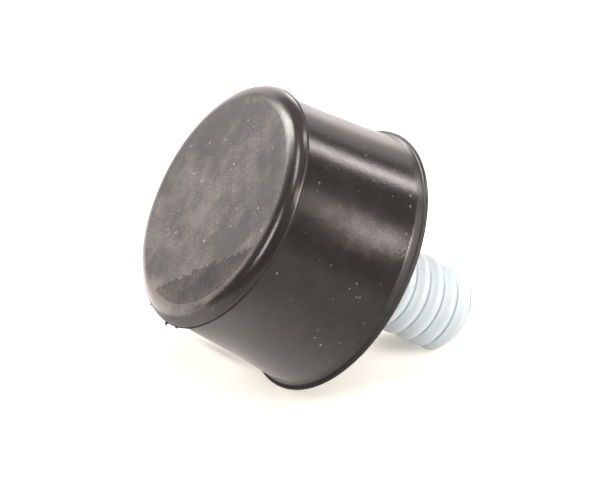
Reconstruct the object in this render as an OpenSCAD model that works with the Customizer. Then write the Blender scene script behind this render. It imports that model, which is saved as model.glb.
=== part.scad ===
// Rubber foot with a threaded stud.
// A tapered rubber foot is moulded round the head of a zinc-plated screw. The narrow end is the
// face that stands on the floor, and the wide end with the stud bolts to the equipment.
// The part stands on its narrow face: +Z is the axis of the foot and of the stud, z = 0 is the floor.

/* [Rubber] */
// Height of the rubber, from the floor face to the mounting face
rubber_h = 11.4; // [10:0.1:20]
// Diameter over the lip at the mounting face
lip_d = 20; // [18:0.5:30]
// Thickness of the lip, which has a half-round edge
lip_t = 0.35; // [0.2:0.05:0.8]
// How far the lip stands proud of the hollow under it
lip_step = 0.2; // [0.1:0.05:0.6]
// Height of the hollow where the wall flares out to the lip
flare_h = 0.6; // [0.3:0.05:1]
// Radius of that hollow
flare_r = 1.3; // [1.2:0.05:3]
// Draft of the side wall, in degrees from the axis
wall_draft = 4.1; // [1:0.1:8]

/* [Tread] */
// Height of the tread, from the floor face to the mould's parting line
tread_h = 1.05; // [0.8:0.05:2]
// How far the tread stands proud of the wall at the parting line
tread_step = 0.3; // [0.05:0.05:0.5]
// Radius of the rounded edge of the floor face
tread_round = 1.12; // [0.3:0.01:1.2]

/* [Stud] */
// Major diameter of the thread
stud_d = 6.35; // [6:0.05:8]
// Pitch of the thread
thread_pitch = 1.27; // [0.8:0.01:1.5]
// Depth of the thread, from its crest to its root
thread_depth = 0.7; // [0.4:0.01:0.8]
// Width of the flat crest of each turn
thread_crest = 0.18; // [0.1:0.01:0.3]
// Length of the stud beyond the mounting face
stud_out = 10.3; // [6:0.1:30]
// How far the thread runs on into the rubber before the plain shank
thread_in = 0.15; // [0.05:0.05:0.2]
// Chamfer at the end of the thread
stud_chamfer = 0.6; // [0.2:0.05:1.2]
// Diameter of the plain shank inside the rubber, the blank that the thread is rolled on
shank_d = 5.5; // [4.5:0.1:5.9]
// Width across the flats of the hexagon head inside the rubber
head_af = 11.1; // [9:0.1:12]
// Height of the hexagon head
head_h = 4; // [2.5:0.1:5]
// Thickness of rubber between the head and the mounting face
head_cover = 2.5; // [1.5:0.1:4]

/* [Hidden] */
$fn = 96;

lip_radius = lip_d / 2;
lip_z = rubber_h - lip_t;

// The hollow is an arc that starts tangent to the drafted wall. Its centre lies outside the wall.
flare_z = lip_z - flare_h;
flare_centre_out = flare_r * cos(wall_draft);
flare_centre_down = flare_r * sin(wall_draft);
flare_out = flare_centre_out - sqrt(pow(flare_r, 2) - pow(flare_h + flare_centre_down, 2));

wall_top_r = lip_radius - lip_step - flare_out;
wall_low_r = wall_top_r - (flare_z - tread_h) * tan(wall_draft);
tread_r = wall_low_r + tread_step;

head_z = rubber_h - head_cover - head_h;
head_corner_r = head_af / 2 / cos(30);
thread_z = rubber_h - thread_in;
chamfer_z = rubber_h + stud_out - stud_chamfer;
stud_z = chamfer_z + stud_chamfer;

// The turns of the thread are cut as parallel grooves with flanks at 30 degrees. The first groove
// starts just above the mounting face, and the last one runs out through the chamfer.
groove_out = thread_pitch - thread_crest;
groove_root = groove_out - 2 * thread_depth * tan(30);
groove_z = rubber_h + thread_crest / 2 + groove_out / 2;
groove_count = floor((stud_z - groove_z) / thread_pitch + 0.5);

// Section of the tread: a flat floor face with a rounded edge, cut off square at the parting line
module tread_section() {
    intersection() {
        square([tread_r, tread_h]);
        union() {
            square([tread_r - tread_round, tread_h]);
            translate([0, tread_round]) square([tread_r, tread_h]);
            translate([tread_r - tread_round, tread_round]) circle(r = tread_round);
        }
    }
}

// Section of the drafted wall, from the parting line up to the hollow
module wall_section() {
    polygon([[0, tread_h], [wall_low_r, tread_h], [wall_top_r, flare_z], [0, flare_z]]);
}

// Section of the hollow that turns the wall out to the lip
module flare_section() {
    difference() {
        translate([0, flare_z]) square([wall_top_r + flare_centre_out, flare_h]);
        translate([wall_top_r + flare_centre_out, flare_z - flare_centre_down]) circle(r = flare_r);
    }
}

// Section of the thin lip at the mounting face, with its half-round edge
module lip_section() {
    translate([0, lip_z]) square([lip_radius - lip_t / 2, lip_t]);
    translate([lip_radius - lip_t / 2, lip_z + lip_t / 2]) circle(d = lip_t);
}

// The hexagon head and the plain shank, both held in the rubber
module head_and_shank() {
    translate([0, 0, head_z]) cylinder(r = head_corner_r, h = head_h, $fn = 6);
    translate([0, 0, head_z]) cylinder(d = shank_d, h = thread_z - head_z);
}

// Section of the thread before its grooves are cut: a cylinder of the major diameter, chamfered
module blank_section() {
    polygon([
        [0, thread_z], [stud_d / 2, thread_z], [stud_d / 2, chamfer_z],
        [stud_d / 2 - stud_chamfer, stud_z], [0, stud_z]
    ]);
}

// Section of one groove, from outside the crests down to its flat root
module groove_section() {
    spread = tan(30) * thread_depth;
    polygon([
        [spread, -groove_out / 2 - spread * tan(30)], [spread, groove_out / 2 + spread * tan(30)],
        [-thread_depth, groove_root / 2], [-thread_depth, -groove_root / 2]
    ]);
}

// The threaded length of the stud
module thread() {
    rotate_extrude()
        difference() {
            blank_section();
            for (i = [0 : groove_count - 1])
                translate([stud_d / 2, groove_z + i * thread_pitch]) groove_section();
        }
}

// The rubber, moulded in one piece round the head and shank of the screw
module rubber_body() {
    color([0.07, 0.065, 0.06])
        difference() {
            rotate_extrude() {
                tread_section();
                wall_section();
                flare_section();
                lip_section();
            }
            head_and_shank();
            rotate_extrude() blank_section();
        }
}

// The stud, one piece with the head that anchors it in the rubber
module stud() {
    color([0.80, 0.83, 0.84]) {
        head_and_shank();
        thread();
    }
}

rubber_body();
stud();
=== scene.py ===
import math

import bpy
import numpy as np
from mathutils import Matrix, Vector


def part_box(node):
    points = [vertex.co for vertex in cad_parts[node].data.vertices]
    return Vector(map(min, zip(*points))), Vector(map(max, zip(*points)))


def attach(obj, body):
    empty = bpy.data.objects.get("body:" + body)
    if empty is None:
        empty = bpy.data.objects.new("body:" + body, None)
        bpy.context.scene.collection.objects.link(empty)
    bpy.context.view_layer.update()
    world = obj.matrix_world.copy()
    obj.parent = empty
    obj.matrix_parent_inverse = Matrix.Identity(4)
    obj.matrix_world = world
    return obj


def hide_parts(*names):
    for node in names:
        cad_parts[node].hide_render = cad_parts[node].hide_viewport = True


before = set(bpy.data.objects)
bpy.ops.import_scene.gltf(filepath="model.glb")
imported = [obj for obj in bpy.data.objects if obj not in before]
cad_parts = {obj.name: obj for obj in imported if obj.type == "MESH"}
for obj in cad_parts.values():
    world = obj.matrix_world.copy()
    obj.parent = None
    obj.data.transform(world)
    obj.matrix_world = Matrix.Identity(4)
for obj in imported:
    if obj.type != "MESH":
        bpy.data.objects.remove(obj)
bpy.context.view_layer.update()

# ---------------------------------------------------------------------------------------------
# How the foot lies, and the camera
# A loose foot rolls onto its side and comes to rest on the edge of its lip and the end of its
# stud. The part itself is kept standing on its tread, so the table is leaned over to meet it.
# ---------------------------------------------------------------------------------------------
mm = 0.001
rubber_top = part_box("rubber_body")[1]
stud_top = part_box("stud")[1]
lip_radius = rubber_top.x
lip_thick = 0.35 * mm
stud_radius = 3.175 * mm
stud_chamfer = 0.6 * mm

# The table touches the foot on the side that is this far round its axis, at the middle of the
# lip's round edge and at the corner where the stud's chamfer starts.
touch_turn = math.radians(135)
touch_side = Vector((math.cos(touch_turn), math.sin(touch_turn), 0))
lip_touch = (lip_radius, rubber_top.z - lip_thick / 2)
tip_touch = (stud_radius, stud_top.z - stud_chamfer)
lean = math.atan2(lip_touch[0] - tip_touch[0], tip_touch[1] - lip_touch[1])
table_up = Vector((0, 0, -math.sin(lean))) - touch_side * math.cos(lean)
table_point = touch_side * lip_touch[0] + Vector((0, 0, lip_touch[1]))

# The camera looks down at the table at this angle. Seen from above, its line of sight is the way
# that the stud points, turned by view_turn.
view_down = math.radians(28.32)
view_turn = math.radians(70.5)
view_distance = 399.94 * mm
aim = Vector((2.990, 1.588, 5.680)) * mm
focal_length = 339.18

stud_heading = (Vector((0, 0, 1)) - table_up * table_up.z).normalized()
away = Matrix.Rotation(view_turn, 3, table_up) @ stud_heading
across = away.cross(table_up)
look = away * math.cos(view_down) - table_up * math.sin(view_down)
picture_up = across.cross(look)


def facing(right, up, back, place):
    """The pose of an object at a place, with its X, Y and Z axes along the three directions."""
    pose = Matrix((right, up, back)).transposed().to_4x4()
    pose.translation = place
    return pose


camera = bpy.data.objects.new("camera", bpy.data.cameras.new("camera"))
camera.data.lens = focal_length
camera.data.clip_start = 0.01
camera.data.clip_end = 10
camera.matrix_world = facing(across, picture_up, -look, aim - look * view_distance)
bpy.context.collection.objects.link(camera)
bpy.context.scene.camera = camera

# ---------------------------------------------------------------------------------------------
# Rubber body
# One piece of black rubber, moulded round the head of the stud: a round-edged tread, the thin
# flash left at the mould's parting line, a drafted wall, a hollow and a thin lip.
# ---------------------------------------------------------------------------------------------
tread_high = 1.05 * mm
tread_step = 0.3 * mm
tread_round = 1.12 * mm
wall_draft = math.radians(4.1)
wall_hollow = 0.07 * mm
flare_high = 0.6 * mm
flare_radius = 1.3 * mm
lip_step = 0.2 * mm
thread_in = 0.15 * mm
shank_radius = 2.75 * mm
head_flats = 11.1 * mm
head_corner = head_flats / 2 / math.cos(math.radians(30))
head_low = 4.9 * mm
head_high = 8.9 * mm

lip_low = rubber_top.z - lip_thick
flare_low = lip_low - flare_high
flare_out = flare_radius * math.cos(wall_draft)
flare_down = flare_radius * math.sin(wall_draft)
wall_top_radius = lip_radius - lip_step - flare_out
wall_top_radius += math.sqrt(flare_radius**2 - (flare_high + flare_down) ** 2)
wall_low_radius = wall_top_radius - (flare_low - tread_high) * math.tan(wall_draft)
tread_radius = wall_low_radius + tread_step


def angles_round(count):
    """Evenly spaced angles for one full turn."""
    return np.radians(np.arange(count) * 360 / count)


def hexagon(turn):
    """Radius of a hexagon with corners at radius 1, one of them at angle 0: cos 30 over the cosine
    of the angle from the middle of the side."""
    side = math.radians(60)
    return math.cos(side / 2) / np.cos(np.mod(turn, side) - side / 2)


def build(name, points, faces):
    """A new object at the origin, from lists of points and faces."""
    mesh = bpy.data.meshes.new(name)
    mesh.from_pydata(points, [], faces)
    made = bpy.data.objects.new(name, mesh)
    bpy.context.collection.objects.link(made)
    return made


def revolve(name, radius, height, turn):
    """Closed mesh round the Z axis: x is radius times the cosine of the turn, y is radius times its
    sine, and z is the height. The grids radius and height have one row for each ring and one column
    for each angle of turn, and both ends are closed with one vertex on the axis."""
    rows, columns = radius.shape
    grid = np.stack([radius * np.cos(turn), radius * np.sin(turn), height], axis=-1)
    ends = np.array([[0, 0, height[0].mean()], [0, 0, height[-1].mean()]])
    points = np.concatenate([grid.reshape(-1, 3), ends])
    here = np.arange(columns)
    after = np.roll(here, -1)
    row = np.arange(rows - 1)[:, None] * columns
    quads = np.stack([row + here, row + after, row + columns + after, row + columns + here], axis=-1)
    low_end = rows * columns
    high_end = low_end + 1
    top = low_end - columns
    low_fan = np.stack([np.full(columns, low_end), after, here], axis=-1)
    high_fan = np.stack([np.full(columns, high_end), top + here, top + after], axis=-1)
    faces = quads.reshape(-1, 4).tolist() + low_fan.tolist() + high_fan.tolist()
    made = build(name, points.tolist(), faces)
    made.data.polygons.foreach_set("use_smooth", np.ones(len(faces), bool))
    made.data.set_sharp_from_angle(angle=math.radians(40))
    return made


def ring_noise(turn, knots, rng):
    """Random values from 0 to 1 at evenly spaced angles, joined by straight lines round the ring."""
    at = np.arange(knots + 1) * 2 * math.pi / knots
    value = rng.random(knots)
    return np.interp(turn, at, np.append(value, value[0]))


# The flash is torn along its edge by long tears and short nicks, and stands out most on the side
# at 45 degrees. Three shreds of it hang out further: each has its angle and half its width, in
# degrees, and its length.
flash_least = 0.02 * mm
flash_tears = 0.05 * mm
flash_nicks = 0.02 * mm
tear_count = 96
nick_count = 260
shreds = [(143.5, 1.1, 0.30 * mm), (123.5, 1.6, 0.28 * mm), (114, 1.4, 0.12 * mm)]

turn = angles_round(720)
rng = np.random.default_rng(7)
flash = flash_least + flash_tears * ring_noise(turn, tear_count, rng) ** 2
flash += flash_nicks * ring_noise(turn, nick_count, rng)
flash *= 0.6 + 0.4 * np.cos(turn - math.radians(45))
for degrees, half_width, length in shreds:
    beside = np.abs(np.degrees(turn) - degrees) / half_width
    flash += length * np.clip(1 - beside, 0, 1)

# The section, ring by ring from the middle of the floor face to the middle of the head's pocket.
# The rounding of the tread starts gently: its tilt grows as a power of the way along it. It is
# summed in small steps, and only some of them get a ring.
tilt_power = 1.35
tilt_steps = 1201
steps_per_ring = 30
tilt_end = math.acos(1 - tread_high / tread_round)
tilt = tilt_end * np.linspace(0, 1, tilt_steps) ** tilt_power
edge_z = np.cumsum(np.sin(tilt))
edge_r = np.cumsum(np.cos(tilt)) * tread_high / edge_z[-1]
edge_r = (edge_r - edge_r[-1] + tread_radius)[::steps_per_ring]
edge_z = (edge_z * tread_high / edge_z[-1])[::steps_per_ring]
floor_rings = 18
first_ring = 0.45 * mm
floor_r = np.linspace(first_ring, edge_r[0], floor_rings)
edge_r = edge_r[1:]
edge_z = edge_z[1:]

# The wall's rings lie closer together just above the parting line, and the wall is a little
# hollow along its height, by half a sine wave.
wall_high = flare_low - tread_high
wall_rings = 22
close_rings = np.array([0.06, 0.14, 0.25]) * mm
wall_up = np.concatenate([close_rings, np.linspace(0.5 * mm, wall_high, wall_rings)])
wall_z = tread_high + wall_up
wall_r = wall_low_radius + wall_up * math.tan(wall_draft)
wall_r -= wall_hollow * np.sin(wall_up / wall_high * math.pi)

# The hollow under the lip is an arc that leaves the wall at a tangent, and the lip's edge is half
# a circle.
arc_rings = 13
flare_z = np.linspace(flare_low, lip_low, arc_rings)
flare_r = wall_top_radius + flare_out
flare_r = flare_r - np.sqrt(flare_radius**2 - (flare_z - flare_low + flare_down) ** 2)
lip_turn = np.radians(np.linspace(-90, 90, arc_rings))
lip_r = lip_radius - lip_thick / 2 + lip_thick / 2 * np.cos(lip_turn)
lip_z = lip_low + lip_thick / 2 + lip_thick / 2 * np.sin(lip_turn)

# The mounting face dips a little where it meets the thread, and under it are the hole for the
# shank and the pocket for the head.
seat_r = np.array([9.6, 8.9, 8, 7, 6, 5, 4.2, 3.6, 3.34, 3.24, 3.19]) * mm
seat_z = rubber_top.z - np.array([0, 0, 0, 0, 0, 0, 0, 0, 0.006, 0.03, 0.08]) * mm
hole_r = np.array([3.18 * mm, shank_radius, shank_radius])
hole_z = np.array([rubber_top.z - thread_in, rubber_top.z - thread_in, head_high])
pocket_r = np.array([0.7, 1, 1, 0.5, 0.1]) * head_corner
pocket_z = np.array([head_high, head_high, head_low, head_low, head_low])

section_r = np.concatenate([floor_r, edge_r, wall_r, flare_r, lip_r, seat_r, hole_r, pocket_r])
floor_z = np.zeros(floor_rings)
section_z = np.concatenate([floor_z, edge_z, wall_z, flare_z, lip_z, seat_z, hole_z, pocket_z])
rings = np.repeat(section_r[:, None], turn.size, axis=1)
levels = np.repeat(section_z[:, None], turn.size, axis=1)
rings[-len(pocket_r):] *= hexagon(turn)

# The flash takes the place of the tread's last ring. It stands out from the edge of the tread, and
# behind it the rubber steps in to the foot of the wall.
all_round = np.ones(turn.size)
after_edge = floor_rings + len(edge_r)
flash_r = tread_radius + np.outer([0.0, 1.0, 1.0], flash)
flash_z = tread_high + np.outer([-0.05, -0.02, 0.0], all_round) * mm
root_r = np.outer([tread_radius - 0.01 * mm, wall_low_radius + 0.08 * mm], all_round)
root_z = tread_high + np.outer([0.025, 0.02], all_round) * mm
rings = np.concatenate([rings[:after_edge - 1], flash_r, root_r, rings[after_edge:]])
levels = np.concatenate([levels[:after_edge - 1], flash_z, root_z, levels[after_edge:]])

rubber_body = revolve("rubber_foot", rings, levels, turn)


def add(tree, kind, sockets=(), **settings):
    """A new shader node. Each socket is given a value, or the output of another node."""
    made = tree.nodes.new(kind)
    for name, value in settings.items():
        setattr(made, name, value)
    for name, value in dict(sockets).items():
        if isinstance(value, bpy.types.NodeSocket):
            tree.links.new(value, made.inputs[name])
        else:
            made.inputs[name].default_value = value
    return made


def new_material(name):
    """An empty material of shader nodes, and its tree."""
    made = bpy.data.materials.new(name)
    made.use_nodes = True
    made.node_tree.nodes.clear()
    return made, made.node_tree


def blend_colours(tree, amount, first, second):
    """The colour that goes from first to second as the amount goes from 0 to 1."""
    made = add(tree, "ShaderNodeMix", {0: amount, 6: first, 7: second}, data_type="RGBA")
    return made.outputs[2]


def remap(tree, value, low, high, to_low=0.0, to_high=1.0):
    """The value's range from low to high, mapped onto to_low to to_high. It eases in and out at the
    ends, and holds still beyond them."""
    sockets = {0: value, 1: low, 2: high, 3: to_low, 4: to_high}
    return add(tree, "ShaderNodeMapRange", sockets, interpolation_type="SMOOTHSTEP").outputs[0]


def calculate(tree, operation, first, *others):
    """Arithmetic on two or more values, taken one after another from the left."""
    for other in others:
        first = add(tree, "ShaderNodeMath", {0: first, 1: other}, operation=operation).outputs[0]
    return first


def vector_maths(tree, operation, *vectors):
    """One step of arithmetic on vectors. A length, a distance or a dot product is a number, and
    everything else is a vector."""
    made = add(tree, "ShaderNodeVectorMath", dict(enumerate(vectors)), operation=operation)
    gives_number = operation in ("LENGTH", "DISTANCE", "DOT_PRODUCT")
    return made.outputs["Value" if gives_number else "Vector"]


def how_far(tree, place, way):
    """How far a place lies from the origin in one direction."""
    return vector_maths(tree, "DOT_PRODUCT", place, way)


def from_axis(tree, place):
    """How far a place lies from the Z axis, on which both pieces are centred."""
    return vector_maths(tree, "LENGTH", vector_maths(tree, "MULTIPLY", place, (1, 1, 0)))


def wobbled(tree, place, scale, detail, reach):
    """The place, pushed about at random by up to half the reach, so that a round mark comes out
    uneven."""
    wobble = add(tree, "ShaderNodeTexNoise", {"Vector": place, "Scale": scale, "Detail": detail})
    offset = vector_maths(tree, "SUBTRACT", wobble.outputs["Color"], (0.5, 0.5, 0.5))
    return vector_maths(tree, "MULTIPLY_ADD", offset, (reach, reach, reach), place)


def soft_mark(tree, place, centre, size, degrees):
    """A soft oval, 1 in its middle and 0 outside, turned round the upright. The place is in metres,
    and the centre and the size, which is half the oval's width each way, are in millimetres."""
    sockets = {0: place, 1: Vector(centre) * mm, 2: (0, 0, math.radians(degrees)), 3: Vector(size) * mm}
    turned = add(tree, "ShaderNodeMapping", sockets, vector_type="TEXTURE").outputs[0]
    oval = add(tree, "ShaderNodeTexGradient", {0: turned}, gradient_type="SPHERICAL")
    return oval.outputs["Fac"]


def open_group(name, inputs, outputs):
    """A new shader node group that takes a place and the named numbers and gives the named numbers,
    with its two end nodes."""
    group = bpy.data.node_groups.new(name, "ShaderNodeTree")
    group.interface.new_socket("Vector", in_out="INPUT", socket_type="NodeSocketVector")
    for socket in inputs:
        group.interface.new_socket(socket, in_out="INPUT", socket_type="NodeSocketFloat")
    for socket in outputs:
        group.interface.new_socket(socket, in_out="OUTPUT", socket_type="NodeSocketFloat")
    return group, group.nodes.new("NodeGroupInput"), group.nodes.new("NodeGroupOutput")


# Dust: a thin cloudy film, broad smears, and specks that lie in random cells and differ in size,
# most of them small.
dust_inputs = ["Speck Cells", "Speck Size", "Film Scale"]
dust, given, result = open_group("dust", dust_inputs, ["Specks", "Film", "Smears"])
uneven = wobbled(dust, given.outputs["Vector"], 6000.0, 2.0, 0.3 * mm)
cells = add(dust, "ShaderNodeTexVoronoi", {"Vector": uneven, "Scale": given.outputs["Speck Cells"]})
chance = add(dust, "ShaderNodeSeparateColor", {0: cells.outputs["Color"]})
size = calculate(dust, "POWER", chance.outputs[0], 5.0)
size = calculate(dust, "MULTIPLY", size, given.outputs["Speck Size"])
specks = remap(dust, calculate(dust, "SUBTRACT", size, cells.outputs["Distance"]), 0.0, 0.12)
specks = calculate(dust, "MULTIPLY", specks, remap(dust, chance.outputs[1], 0.0, 1.0, 0.15, 1.0))
clouds = add(dust, "ShaderNodeTexNoise", {
    "Vector": given.outputs["Vector"], "Scale": given.outputs["Film Scale"],
    "Detail": 7.0, "Roughness": 0.66, "Distortion": 0.4,
})
smears = add(dust, "ShaderNodeTexNoise", {
    "Vector": uneven, "Scale": 330.0, "Detail": 3.0, "Roughness": 0.5,
})
dust.links.new(specks, result.inputs["Specks"])
dust.links.new(remap(dust, clouds.outputs[0], 0.3, 0.7), result.inputs["Film"])
dust.links.new(remap(dust, smears.outputs[0], 0.35, 0.65), result.inputs["Smears"])

# Grain: the fine unevenness of a surface, as a height from 0 to 1.
grain, given, result = open_group("grain", ["Scale", "Detail"], ["Height"])
bumps = add(grain, "ShaderNodeTexNoise", {
    "Vector": given.outputs["Vector"], "Scale": given.outputs["Scale"],
    "Detail": given.outputs["Detail"], "Roughness": 0.6,
})
grain.links.new(bumps.outputs[0], result.inputs["Height"])

# The colours of the rubber: the wall, clean and filmed, a pale paint for a painted highlight on the
# wall, a pale paint for a painted reflection on the low side of the tread, the floor face, rubbed and
# dusty, the black of the torn flash, which also paints shade on the lip, and the grains of dust.
wall_clean = (0.026, 0.0225, 0.0205, 1)
wall_filmed = (0.037, 0.032, 0.0295, 1)
wall_highlight_paint = (0.135, 0.114, 0.106, 1)
tread_reflection_paint = (0.125, 0.106, 0.098, 1)
face_rubbed = (0.004, 0.0045, 0.0035, 1)
face_dusty = (0.150, 0.122, 0.112, 1)
edge_black = (0.016, 0.014, 0.013, 1)
grain_pale = (0.42, 0.38, 0.36, 1)

rubber, tree = new_material("black_rubber")
place = add(tree, "ShaderNodeTexCoord").outputs["Object"]
height = add(tree, "ShaderNodeSeparateXYZ", {0: place}).outputs[2]
sockets = {"Vector": place, "Speck Cells": 2100.0, "Speck Size": 0.26, "Film Scale": 700.0}
rubber_dust = add(tree, "ShaderNodeGroup", sockets, node_tree=dust)
film = rubber_dust.outputs["Film"]
sockets = {"Vector": place, "Scale": 6000.0, "Detail": 3.0}
grit = add(tree, "ShaderNodeGroup", sockets, node_tree=grain).outputs["Height"]
sockets = {"Vector": place, "Scale": 500.0, "Detail": 1.0}
patches = add(tree, "ShaderNodeGroup", sockets, node_tree=grain).outputs["Height"]

# Handling has rubbed the dusty floor face. Each mark has its place, x and y, half its length and
# half its width in millimetres, the direction of its length in degrees, and how much paler it leaves
# the rubber, or darker where that is below 0.
rubs = [
    (2.5, 4.5, 1.7, 0.65, -16, -1.1),
    (3.9, 4.05, 1.5, 0.8, -22, -1.2),
    (4.0, 3.1, 1.4, 0.8, -65, -1.0),
    (4.3, 4.8, 1.8, 0.6, -25, 0.35),
    (0.79, 6.43, 0.3, 0.25, 0, -1.0),
    (0.4, 2.5, 0.8, 0.25, 5, 0.6),
    (-4.6, -2.5, 2.6, 0.9, 42, 0.45),
    (-1.0, 0.3, 4.2, 2.2, 55, 0.45),
    (1.34, -6.8, 1.2, 0.9, 0, -0.4),
    (3.6, -5.93, 1.3, 1.0, 30, -0.4),
    (5.0, -1.6, 2.0, 0.8, 80, -0.35),
    (-2.5, -4.7, 2.4, 1.6, 20, -0.4),
    (-5.8, 3.4, 1.8, 1.5, 0, -0.6),
    (-5.0, 6.0, 3.2, 1.3, 40, 0.7),
    (0.3, 7.9, 2.6, 0.8, 0, 0.3),
    (5.8, 0.8, 4.5, 3.0, 80, -0.4),
    (0.0, -6.5, 5.5, 2.6, 0, -0.4),
    (-3.2, -3.0, 2.0, 1.4, 40, 0.3),
    (-5.3, 6.3, 3.2, 0.8, 40, 0.8),
    (1.8, 3.3, 3.0, 1.9, 0, -0.5),
    (-6.0, -3.3, 1.8, 1.4, 30, -0.5),
    (0.6, 6.2, 1.8, 1.1, 0, -0.45),
    (-3.2, -6.2, 2.0, 1.3, 0, -0.4),
    (6.6, -2.2, 2.4, 1.2, 80, -0.4),
    (-3.6, 1.2, 2.2, 1.4, 70, -0.25),
    (-2.0, 5.2, 2.4, 1.4, 20, 0.25),
]
paleness = calculate(tree, "MULTIPLY", calculate(tree, "SUBTRACT", film, 0.5), 0.5)
smeared = remap(tree, rubber_dust.outputs["Smears"], 0.0, 1.0, 0.24, 0.52)
paleness = calculate(tree, "ADD", paleness, smeared, remap(tree, grit, 0.3, 0.7, -0.35, 0.35))
for x, y, length, width, degrees, paler in rubs:
    mark = soft_mark(tree, place, (x, y, 0), (length, width, 1), degrees)
    paleness = calculate(tree, "ADD", paleness, calculate(tree, "MULTIPLY", mark, paler))
paleness = add(tree, "ShaderNodeClamp", {0: paleness}).outputs[0]

# The dust ends raggedly where the rounding of the tread starts. On the low side and on the left the
# pale dust colour is spread further out over the rounding, as a painted sheen where the rim mirrors
# the bright table and surroundings. On the high side it is pulled back, so that the lamp's highlight
# falls on clean rubber.
low_side = how_far(tree, place, (-0.17, 0.985, 0))
left_side = how_far(tree, place, (-0.866, 0.5, 0))
ragged = remap(tree, film, 0.0, 1.0, 0.05 * mm, -0.05 * mm)
shrunk_high = remap(tree, low_side, 1.0 * mm, -4.0 * mm, 0.0, 0.20 * mm)
painted_sheen_low = remap(tree, low_side, 5.5 * mm, 8.5 * mm, 0.0, 0.30 * mm)
painted_sheen_left = remap(tree, left_side, 3.0 * mm, 7.5 * mm, 0.0, 0.45 * mm)
dust_and_sheen_radius = calculate(tree, "ADD", from_axis(tree, place), ragged, shrunk_high)
dust_and_sheen_radius = calculate(tree, "SUBTRACT", dust_and_sheen_radius, painted_sheen_low, painted_sheen_left)
flat_radius = tread_radius - tread_round
face_dust_and_rim_sheen = remap(tree, dust_and_sheen_radius, flat_radius + 0.10 * mm, flat_radius - 0.22 * mm)
face_dust_and_rim_sheen = calculate(tree, "MULTIPLY", face_dust_and_rim_sheen, remap(tree, height, 0.25 * mm, 0.10 * mm))

# On the low side, toward the table, the side of the tread is painted paler below the flash: a
# painted reflection of the white table, broken up like a thin dust.
painted_tread_reflection = remap(tree, low_side, 7.4 * mm, 9.1 * mm)
below_flash = remap(tree, height, 1.0 * mm, 0.75 * mm)
painted_tread_reflection = calculate(tree, "MULTIPLY", painted_tread_reflection, below_flash, remap(tree, film, 0.0, 1.0, 0.4, 0.7))

# A painted highlight lies on the wall in a tall soft patch where a lamp's streak falls, broken up
# like fine dust. Its middle is this far round, and this far out and up in millimetres.
patch_degrees = 15
patch_out = 9.15
patch_up = 6.8
patch_size = (3, 1.9, 4.5)
patch_x = patch_out * math.cos(math.radians(patch_degrees))
patch_y = patch_out * math.sin(math.radians(patch_degrees))
painted_wall_highlight = soft_mark(tree, place, (patch_x, patch_y, patch_up), patch_size, patch_degrees)
painted_wall_highlight = calculate(tree, "MULTIPLY", painted_wall_highlight, remap(tree, film, 0.0, 1.0, 0.6, 1.3))
painted_wall_highlight = remap(tree, painted_wall_highlight, 0.0, 0.9)
painted_wall_highlight = calculate(tree, "MULTIPLY", painted_wall_highlight, remap(tree, grit, 0.3, 0.7, 0.45, 1.0))

# The torn flash is black and matte. The edge of the lip on the low side, next to the table, is
# darkened the same way, as painted shade.
from_flash = calculate(tree, "SUBTRACT", height, tread_high + 0.01 * mm)
from_flash = add(tree, "ShaderNodeMath", {0: from_flash}, operation="ABSOLUTE").outputs[0]
at_flash = remap(tree, from_flash, 0.24 * mm, 0.06 * mm)
painted_lip_shade = remap(tree, height, lip_low - 0.20 * mm, lip_low)
painted_lip_shade = calculate(tree, "MULTIPLY", painted_lip_shade, remap(tree, low_side, 3 * mm, 10 * mm))
dark_flash_and_lip_shade = calculate(tree, "MAXIMUM", at_flash, painted_lip_shade)

wall_colour = blend_colours(tree, film, wall_clean, wall_filmed)
wall_colour = blend_colours(tree, painted_wall_highlight, wall_colour, wall_highlight_paint)
wall_colour = blend_colours(tree, painted_tread_reflection, wall_colour, tread_reflection_paint)
face_colour = blend_colours(tree, paleness, face_rubbed, face_dusty)
colour = blend_colours(tree, face_dust_and_rim_sheen, wall_colour, face_colour)
colour = blend_colours(tree, calculate(tree, "MULTIPLY", dark_flash_and_lip_shade, 0.85), colour, edge_black)

# The larger grains of dust, in millimetres: those on the floor face by x, y and radius, and those on
# the wall by their angle in degrees, height and radius.
face_grains = [
    (0.7, 1.9, 0.1), (2.5, 2.7, 0.09), (5.5, 2.2, 0.12), (-0.5, 3, 0.11), (-4.3, 1.2, 0.12),
    (-4.4, -0.6, 0.09), (-2.3, 6.3, 0.08), (2.5, -5.7, 0.09), (0, -4.9, 0.09), (1.6, -2.5, 0.12),
    (-3.3, -3.2, 0.11), (-2.1, -2.3, 0.1), (0.3, -0.3, 0.08), (6.1, -2.4, 0.08), (6.4, 4.2, 0.1),
    (0.4, 5.2, 0.08), (-5.4, 0.6, 0.09), (-5.4, -0.6, 0.07), (1.9, -2.1, 0.06), (3.1, 8.3, 0.1),
    (2.1, 8.3, 0.08),
]
wall_grains = [
    (-24.6, 6.34, 0.12), (-22, 8.84, 0.08), (-11.4, 10.03, 0.11), (-23.5, 1.28, 0.07), (1.4, 2.41, 0.08),
    (-2.7, 5.73, 0.07), (-7.3, 8.58, 0.07), (-6, 10.07, 0.09), (35.6, 7.88, 0.08), (39.1, 7.55, 0.06),
    (46.2, 6.9, 0.07), (67, 7.77, 0.11), (68.9, 8.55, 0.1), (65.2, 5.65, 0.06), (49.9, 10.08, 0.06),
    (47.4, 2.08, 0.09), (50, 7.96, 0.05), (9.9, 8.16, 0.05), (55.6, 4.21, 0.05),
]
grains = [((x, y, 0), size) for x, y, size in face_grains]
for degrees, up, size in wall_grains:
    out = (wall_low_radius + (up * mm - tread_high) * math.tan(wall_draft)) / mm
    angle = math.radians(degrees)
    grains.append(((out * math.cos(angle), out * math.sin(angle), up), size))
uneven = wobbled(tree, place, 9000.0, 1.0, 0.25 * mm)
larger = 0.0
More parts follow.
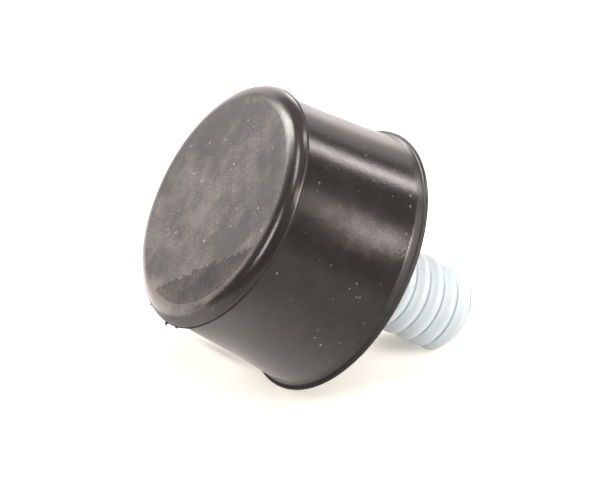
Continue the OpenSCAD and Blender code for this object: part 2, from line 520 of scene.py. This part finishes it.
for centre, size in grains:
    apart = vector_maths(tree, "DISTANCE", uneven, Vector(centre) * mm)
    larger = calculate(tree, "MAXIMUM", larger, remap(tree, apart, 1.2 * size * mm, 0.4 * size * mm))
larger = calculate(tree, "MULTIPLY", larger, 0.75)
specks = remap(tree, face_dust_and_rim_sheen, 0.0, 1.0, 0.3, 0.7)
specks = calculate(tree, "MULTIPLY", rubber_dust.outputs["Specks"], specks)
colour = blend_colours(tree, calculate(tree, "MAXIMUM", specks, larger), colour, grain_pale)

# The rubber is duller where it is dusty, on the flash and the lip, and in the hollow under the lip,
# most of all halfway between its high and its low side.
dusty = calculate(tree, "MULTIPLY", face_dust_and_rim_sheen, remap(tree, paleness, 0.05, 0.5, 0.12, 0.22))
in_hollow = remap(tree, low_side, -4 * mm, -1 * mm)
in_hollow = calculate(tree, "MULTIPLY", in_hollow, remap(tree, low_side, 7 * mm, 4 * mm))
in_hollow = remap(tree, in_hollow, 0.0, 1.0, 0.08, 0.40)
in_hollow = calculate(tree, "MULTIPLY", in_hollow, remap(tree, height, flare_low, flare_low + 0.3 * mm))
roughness = remap(tree, patches, 0.35, 0.65, 0.19, 0.22)
roughness = calculate(tree, "ADD", roughness, dusty, calculate(tree, "MULTIPLY", dark_flash_and_lip_shade, 0.6), in_hollow)

bump = add(tree, "ShaderNodeBump", {"Height": grit, "Distance": 0.012 * mm, "Strength": 0.6})
sockets = {"Base Color": colour, "Roughness": roughness, "Normal": bump.outputs[0], "IOR": 1.62}
shader = add(tree, "ShaderNodeBsdfPrincipled", sockets)
add(tree, "ShaderNodeOutputMaterial", {"Surface": shader.outputs[0]})

rubber_body.data.materials.append(rubber)
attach(rubber_body, "root")
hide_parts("rubber_body")

# ---------------------------------------------------------------------------------------------
# Stud
# A zinc-plated steel screw, a quarter inch across with twenty threads to the inch. The thread is
# rolled, so its crests are round, and the head and the shank are held in the rubber.
# ---------------------------------------------------------------------------------------------
pitch = 25.4 / 20 * mm
thread_depth = 0.57 * mm
root_radius = stud_radius - thread_depth
thread_low = rubber_top.z - thread_in
thread_phase = 0.87
run_in = 0.25 * mm
thread_rings = 350
stud_turn = angles_round(240)


def thread_section(along):
    """Share of the thread's depth that is filled, at a place along one pitch from 0 to 1: half a sine
    wave, so that the crest is round and the root is sharp."""
    return np.sin(math.pi * along)


# The profile, from the middle of the head's underside up the shank and the thread to the middle of
# the end. The head's rings are hexagons.
head_r = np.array([0.1, 0.5, 1, 1, 0.7]) * head_corner
head_z = np.array([head_low, head_low, head_low, head_high, head_high])
shank_r = np.array([shank_radius, shank_radius])
shank_z = np.array([head_high, thread_low])
thread_r = np.full(thread_rings, stud_radius)
thread_z = np.linspace(thread_low, stud_top.z, thread_rings)
end_r = np.array([2.2, 1.4, 0.7]) * mm
end_z = np.full(len(end_r), stud_top.z)
stud_r = np.concatenate([head_r, shank_r, thread_r, end_r])
stud_z = np.concatenate([head_z, shank_z, thread_z, end_z])
stud_rings = np.repeat(stud_r[:, None], stud_turn.size, axis=1)
stud_levels = np.repeat(stud_z[:, None], stud_turn.size, axis=1)
stud_rings[:len(head_r)] *= hexagon(stud_turn)

# The right-handed helix climbs one pitch a turn. It grows out of the shank over its run-in, and the
# chamfer at 45 degrees cuts it off at the end.
first_row = len(head_r) + len(shank_r)
rows = slice(first_row, first_row + thread_rings)
climb = stud_levels[rows] - thread_low
along = climb / pitch - stud_turn / (2 * math.pi) + thread_phase
threaded = root_radius + thread_depth * thread_section(np.mod(along, 1))
threaded = shank_radius + (threaded - shank_radius) * np.clip(climb / run_in, 0, 1)
chamfer_limit = stud_radius - (stud_levels[rows] - (stud_top.z - stud_chamfer))
stud_rings[rows] = np.minimum(threaded, chamfer_limit)

stud = revolve("threaded_stud", stud_rings, stud_levels, stud_turn)

# Zinc, clean and hazed, and a grey used as painted shade in the thread's roots.
zinc_clean = (0.82, 0.92, 0.95, 1)
zinc_hazed = (0.90, 0.955, 0.965, 1)
root_shade_grey = (0.20, 0.22, 0.23, 1)

zinc, tree = new_material("zinc_plate")
place = add(tree, "ShaderNodeTexCoord").outputs["Object"]
sockets = {"Vector": place, "Scale": 5000.0, "Detail": 4.0}
grit = add(tree, "ShaderNodeGroup", sockets, node_tree=grain).outputs["Height"]
sockets = {"Vector": place, "Speck Cells": 2500.0, "Speck Size": 0.3, "Film Scale": 900.0}
film = add(tree, "ShaderNodeGroup", sockets, node_tree=dust).outputs["Film"]
colour = blend_colours(tree, film, zinc_clean, zinc_hazed)
# Painted shade: the roots of the thread are darkened toward that grey, as shade in the grooves.
painted_root_shade = remap(tree, from_axis(tree, place), root_radius + 0.16 * mm, root_radius + 0.02 * mm, 0.0, 0.65)
colour = blend_colours(tree, painted_root_shade, colour, root_shade_grey)
roughness = remap(tree, film, 0.0, 1.0, 0.40, 0.50)
bump = add(tree, "ShaderNodeBump", {"Height": grit, "Distance": 0.008 * mm, "Strength": 0.5})
sockets = {"Base Color": colour, "Roughness": roughness, "Normal": bump.outputs[0], "Metallic": 0.1}
shader = add(tree, "ShaderNodeBsdfPrincipled", sockets)
add(tree, "ShaderNodeOutputMaterial", {"Surface": shader.outputs[0]})

stud.data.materials.append(zinc)
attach(stud, "root")
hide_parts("stud")

# ---------------------------------------------------------------------------------------------
# Table, floor and dark room
# The white table touches the lip and the end of the stud, and the white floor is under the tread.
# Each shows from its upper side only. The rubber mirrors the dark room in front and to the sides.
# ---------------------------------------------------------------------------------------------
table_radius = 0.1
white_paint = (0.90, 0.885, 0.85, 1)
warm_glow = (1, 0.93, 0.80, 1)
mirrored_glow = (1, 0.89, 0.86, 1)
black = (0, 0, 0, 1)


def from_table(azimuth, elevation):
    """Direction from the foot, in degrees: azimuth from straight away from the camera round to its
    right, and elevation above the table. It is away times the cosines of both angles, plus across
    times the sine of azimuth and the cosine of elevation, plus up times the sine of elevation."""
    a, e = np.radians(azimuth), np.radians(elevation)
    backward = np.multiply.outer(np.cos(a) * np.cos(e), away)
    rightward = np.multiply.outer(np.sin(a) * np.cos(e), across)
    return backward + rightward + np.multiply.outer(np.sin(e), table_up)


def light_on_view_rays(tree, ordinary, for_camera, for_mirrors):
    """One value for camera rays, one for glossy and transmission rays, and the ordinary value for
    all others."""
    path = add(tree, "ShaderNodeLightPath")
    glossy, passing = path.outputs["Is Glossy Ray"], path.outputs["Is Transmission Ray"]
    mirrored = calculate(tree, "MAXIMUM", glossy, passing)
    sockets = {0: mirrored, 1: 0.0, 2: 1.0, 3: ordinary, 4: for_mirrors}
    amount = add(tree, "ShaderNodeMapRange", sockets).outputs[0]
    sockets = {0: path.outputs["Is Camera Ray"], 1: 0.0, 2: 1.0, 3: amount, 4: for_camera}
    return add(tree, "ShaderNodeMapRange", sockets).outputs[0]


def shade_beside_wall(tree, place):
    """Painted shadow: share of the white's glow that is left beside the wall of the lying foot, least in
    the middle of a long, soft oval on the table, and all of it outside."""
    square_to_wall = from_table(46.7, 0)
    along_wall = from_table(-43.3, 0)
    middle = square_to_wall * 3.18 * mm + along_wall * 2.48 * mm
    half_width = 0.8 * mm
    half_length = 4.5 * mm
    offset = vector_maths(tree, "SUBTRACT", place, middle)
    beside = how_far(tree, offset, square_to_wall / half_width)
    lengthwise = how_far(tree, offset, along_wall / half_length)
    apart = add(tree, "ShaderNodeCombineXYZ", {0: beside, 1: lengthwise}).outputs[0]
    return remap(tree, vector_maths(tree, "LENGTH", apart), 0.0, 1.0, 0.2, 1.0)


def one_sided_white(name, white_from, white_to):
    """A white that shows from its front only, with a glow of its own on view rays. To the camera the
    glow is dimmed round the stud's tip and beside the wall, as a painted shadow, and it rises to plain
    white between the distances white_from and white_to from the middle of the foot. In mirrors it
    fades toward the front, is brightest far out on the left, and its paint is a quarter darker toward
    the left: a painted reflection. Other rays see the paint a quarter darker."""
    near_tip = Vector((-3.3, 1.9, 20.2)) * mm
    made, tree = new_material(name)
    place = add(tree, "ShaderNodeTexCoord").outputs["Object"]
    forward = how_far(tree, place, -from_table(-31, 0))
    rightward = how_far(tree, place, across)
    backward = how_far(tree, place, away)

    # Painted shadow: the camera's glow is dimmed round the stud's tip and beside the wall.
    from_tip = vector_maths(tree, "DISTANCE", place, near_tip)
    camera_glow = remap(tree, from_tip, 0.3 * mm, 3.3 * mm, 0.15, 0.50)
    camera_glow = calculate(tree, "MULTIPLY", camera_glow, shade_beside_wall(tree, place))
    from_foot = vector_maths(tree, "DISTANCE", place, aim)
    whiter = remap(tree, from_foot, white_from, white_to, 0.0, 0.5)
    camera_glow = calculate(tree, "ADD", camera_glow, whiter)

    mirror_glow = remap(tree, rightward, -5 * mm, 1 * mm, 0.0, 0.5)
    mirror_glow = remap(tree, forward, 2 * mm, 22 * mm, mirror_glow, 0.0)
    far_left = remap(tree, backward, 2 * mm, 10 * mm)
    far_left = calculate(tree, "MULTIPLY", far_left, remap(tree, rightward, -9 * mm, -14 * mm), 3.4)
    mirror_glow = calculate(tree, "ADD", mirror_glow, far_left)

    strength = light_on_view_rays(tree, 0.0, camera_glow, mirror_glow)
    in_mirrors = light_on_view_rays(tree, 0.0, 0.0, 1.0)
    glow_colour = blend_colours(tree, in_mirrors, warm_glow, mirrored_glow)
    glow = add(tree, "ShaderNodeEmission", {"Color": glow_colour, "Strength": strength})
    mirror_tone = remap(tree, rightward, -6 * mm, -1.5 * mm, 0.75, 1.0)
    tone = blend_colours(tree, light_on_view_rays(tree, 0.75, 1.0, mirror_tone), black, white_paint)
    paint = add(tree, "ShaderNodeBsdfDiffuse", {"Color": tone})
    front = add(tree, "ShaderNodeAddShader", {0: paint.outputs[0], 1: glow.outputs[0]})

    back = add(tree, "ShaderNodeBsdfTransparent")
    backfacing = add(tree, "ShaderNodeNewGeometry").outputs["Backfacing"]
    see_through = remap(tree, forward, 0.0, 30 * mm, 0.0, 0.6)
    clear = calculate(tree, "MAXIMUM", backfacing, light_on_view_rays(tree, 0.0, 0.0, see_through))
    both = add(tree, "ShaderNodeMixShader", {0: clear, 1: front.outputs[0], 2: back.outputs[0]})
    add(tree, "ShaderNodeOutputMaterial", {"Surface": both.outputs[0]})
    return made


def disc(name, centre, up, radius, material):
    """A flat disc that faces up: the centre, plus the radius times the cosine and sine of each angle
    along two directions square to up."""
    angle = angles_round(96)
    side = up.orthogonal().normalized()
    other = up.cross(side)
    points = np.outer(np.cos(angle), side) + np.outer(np.sin(angle), other)
    made = build(name, (points * radius + np.array(centre)).tolist(), [list(range(angle.size))])
    made.data.materials.append(material)
    return made


def hide_from(made, *rays):
    """Makes an object show to no ray of the named kinds."""
    for ray in rays:
        setattr(made, "visible_" + ray, False)


table_white = one_sided_white("table_white", 17 * mm, 30 * mm)
disc("table", table_point, table_up, table_radius, table_white)
# The floor is there for views of the standing foot, so only the camera sees it.
floor_white = one_sided_white("floor_white", 11 * mm, 19 * mm)
floor = disc("floor", Vector((0, 0, 0)), Vector((0, 0, 1)), table_radius, floor_white)
hide_from(floor, "diffuse", "glossy", "transmission", "shadow")

# The dark room is part of a ball round the foot, and shows in mirrors only.
room_radius = 0.35
room_azimuths = np.linspace(38, 285, 64)
room_elevations = np.linspace(-70, 58, 48)
room_turn, room_rise = np.meshgrid(room_azimuths, room_elevations)
points = from_table(room_turn, room_rise) * room_radius
index = np.arange(room_turn.size).reshape(room_turn.shape)
quads = np.stack([index[:-1, :-1], index[:-1, 1:], index[1:, 1:], index[1:, :-1]], axis=-1)
dark_room = build("dark_room", points.reshape(-1, 3).tolist(), quads.reshape(-1, 4).tolist())
room_black, tree = new_material("room_black")
paint = add(tree, "ShaderNodeBsdfDiffuse", {"Color": (0.03, 0.03, 0.03, 1)})
add(tree, "ShaderNodeOutputMaterial", {"Surface": paint.outputs[0]})
dark_room.data.materials.append(room_black)
hide_from(dark_room, "camera", "diffuse", "transmission", "shadow")

# ---------------------------------------------------------------------------------------------
# Light
# Soft lamps stand round the table, and the white surroundings fill in. Each lamp is given as it
# looks from the foot: where its two ends stand, how wide it is in degrees, and how bright.
# ---------------------------------------------------------------------------------------------
lamp_distance = 0.3


def lamp(name, one_end, other_end, wide, brightness, tint=(1, 1, 1), mirrored=True, lights=True):
    """A soft lamp that faces the foot. It is a strip between two directions from the foot, each given
    by its azimuth and elevation, and it looks this many degrees wide. One that isn't mirrored only
    lights the foot, and one that doesn't light it shows in mirrors only."""
    start = Vector(from_table(*one_end))
    end = Vector(from_table(*other_end))
    toward = (start + end).normalized()
    along = (end - start).normalized()
    made = bpy.data.lights.new(name, "AREA")
    made.shape = "RECTANGLE"
    made.size = 2 * lamp_distance * math.tan(math.radians(wide / 2))
    made.size_y = 2 * lamp_distance * math.tan(start.angle(end) / 2)
    made.energy = brightness * math.pi * made.size * made.size_y
    made.color = tint
    holder = bpy.data.objects.new(name, made)
    holder.matrix_world = facing(along.cross(toward), along, toward, toward * lamp_distance + aim)
    holder.visible_camera = False
    holder.visible_glossy = mirrored
    holder.visible_diffuse = lights
    bpy.context.collection.objects.link(holder)


lamp("strip_right", (55, 21), (48, 64), 7.5, 10.6, (1, 0.92, 0.90))
lamp("strip_front_low", (114.5, 26), (126.5, 37.5), 16, 31, (1, 0.89, 0.84), lights=False)
lamp("strip_front_high", (129, 38), (164, 57), 10, 5, (1, 0.91, 0.87))
lamp("strip_left", (-53, 22), (-50, 50), 11, 14, (1, 0.98, 0.93))
lamp("strip_left_low", (-53, 13.5), (-53, 22), 6.5, 10, (1, 0.98, 0.94))
lamp("strip_left_faint", (-53, 8), (-60, 13), 6, 1.2, (0.90, 0.96, 1))
lamp("strip_front_left", (-121, 20), (-121, 43), 15, 8.5, (1, 0.92, 0.90))
lamp("ceiling", (-50, 77), (-143, 70), 13, 7.5)
lamp("fill", (150, -5), (150, 60), 60, 1.65, mirrored=False)
lamp("backdrop_light", (-8, -8), (-8, 28), 56, 1.1, (1, 0.93, 0.91), lights=False)
lamp("backdrop_bright", (9, 9), (9, 24), 14, 3.2, (1, 0.95, 0.93), lights=False)

# The camera sees the surroundings plain white. Mirrors see them a little pink, dimmer overhead and
# brighter low on the left, and all other rays get a quarter of white from them.
plain_white = (1, 1, 1, 1)
mirrored_white = (1, 0.91, 0.88, 1)
world = bpy.data.worlds.new("surroundings")
bpy.context.scene.world = world
world.use_nodes = True
tree = world.node_tree
tree.nodes.clear()
direction = add(tree, "ShaderNodeTexCoord").outputs["Generated"]
overhead = remap(tree, how_far(tree, direction, table_up), 0.27, 0.5, 1.0, 0.35)
bright_left = remap(tree, how_far(tree, direction, from_table(-37, -9)), 0.945, 0.98, 0.0, 0.8)
strength = light_on_view_rays(tree, 0.25, 1.0, calculate(tree, "ADD", overhead, bright_left))
in_mirrors = light_on_view_rays(tree, 0.0, 0.0, 1.0)
tint = blend_colours(tree, in_mirrors, plain_white, mirrored_white)
sky = add(tree, "ShaderNodeBackground", {"Color": tint, "Strength": strength})
add(tree, "ShaderNodeOutputWorld", {"Surface": sky.outputs[0]})
bpy.context.scene.view_settings.view_transform = "Standard"
